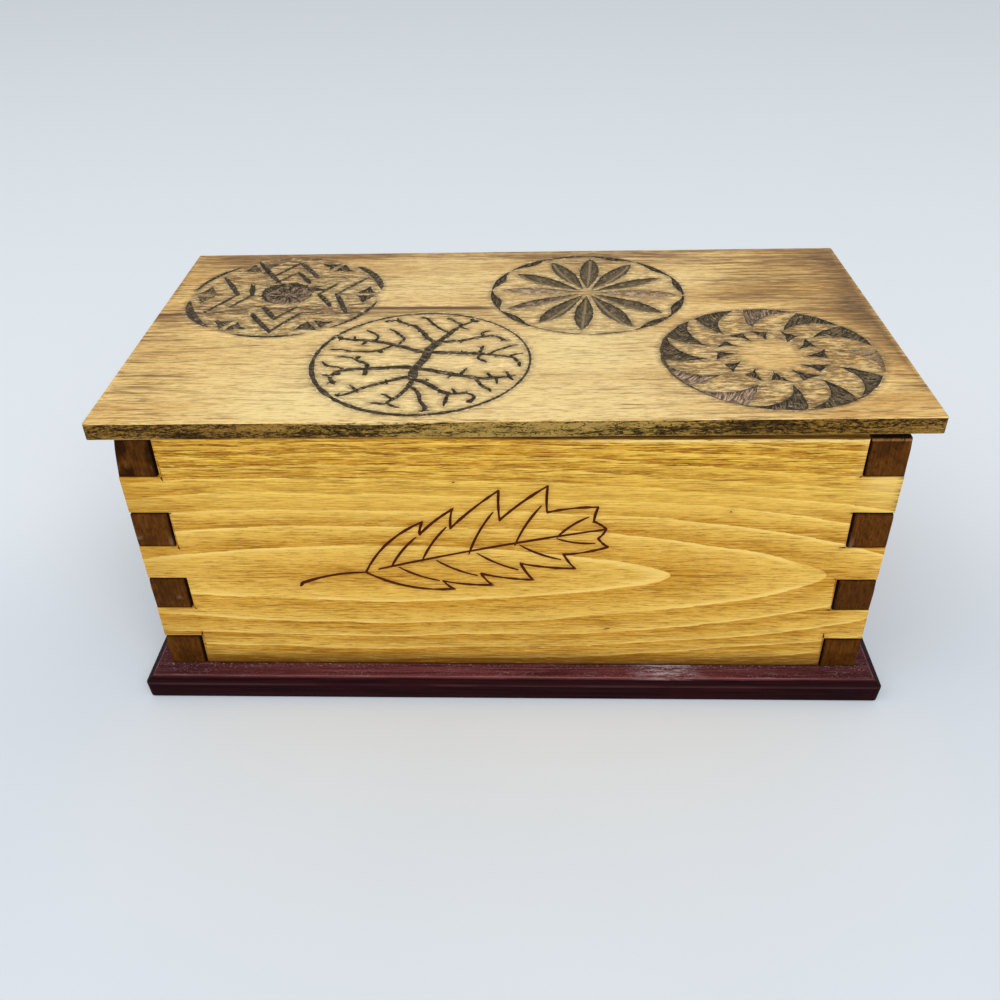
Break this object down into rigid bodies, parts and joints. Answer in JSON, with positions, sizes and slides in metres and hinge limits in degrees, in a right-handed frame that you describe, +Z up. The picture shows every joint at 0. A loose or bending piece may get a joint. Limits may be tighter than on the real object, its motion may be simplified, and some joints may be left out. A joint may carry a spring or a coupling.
{
  "type": "keepsake box",
  "caption": "Small wooden keepsake box: finger-jointed boards on a projecting base plate, closed by a thin overhanging lid on butt hinges.",
  "frame": {"origin": "middle of the base plate's underside, on the surface the box stands on", "axes": "+X to the right along the front, +Y from the front to the back, +Z up"},
  "size_m": [0.2445, 0.1368, 0.1024],
  "materials": {
    "purpleheart": "dark maroon hardwood, wiped finish with a low sheen",
    "pine": "golden oiled pine, satin",
    "walnut": "dark brown hardwood, end grain showing at the corners",
    "stained_pine": "honey-brown stained pine, darker and mottled at the edges",
    "brass": "plain rolled brass",
    "pin_steel": "drawn wire",
    "screw_brass": "turned brass, slotted",
    "screw_steel": "zinc-plated, slotted"
  },
  "bodies": {
    "box": {"base_plate": "purpleheart", "front_board": "pine", "back_board": "pine", "left_side_board": "walnut", "right_side_board": "walnut", "left_hinge_box_leaf": "brass", "right_hinge_box_leaf": "brass", "left_hinge_pin": "pin_steel", "right_hinge_pin": "pin_steel", "left_hinge_box_screws": "screw_brass", "right_hinge_box_screws": "screw_brass", "base_screws": "screw_steel"},
    "lid": {"lid_board": "stained_pine", "left_hinge_lid_leaf": "brass", "right_hinge_lid_leaf": "brass", "left_hinge_lid_screws": "screw_brass", "right_hinge_lid_screws": "screw_brass"}
  },
  "joints": [
    {"name": "lid_hinge", "type": "hinge", "parent": "box", "child": "lid", "pos_m": [0, 0.0609, 0.09625], "axis": [-1, 0, 0], "range_deg": [0, 100]}
  ]
}
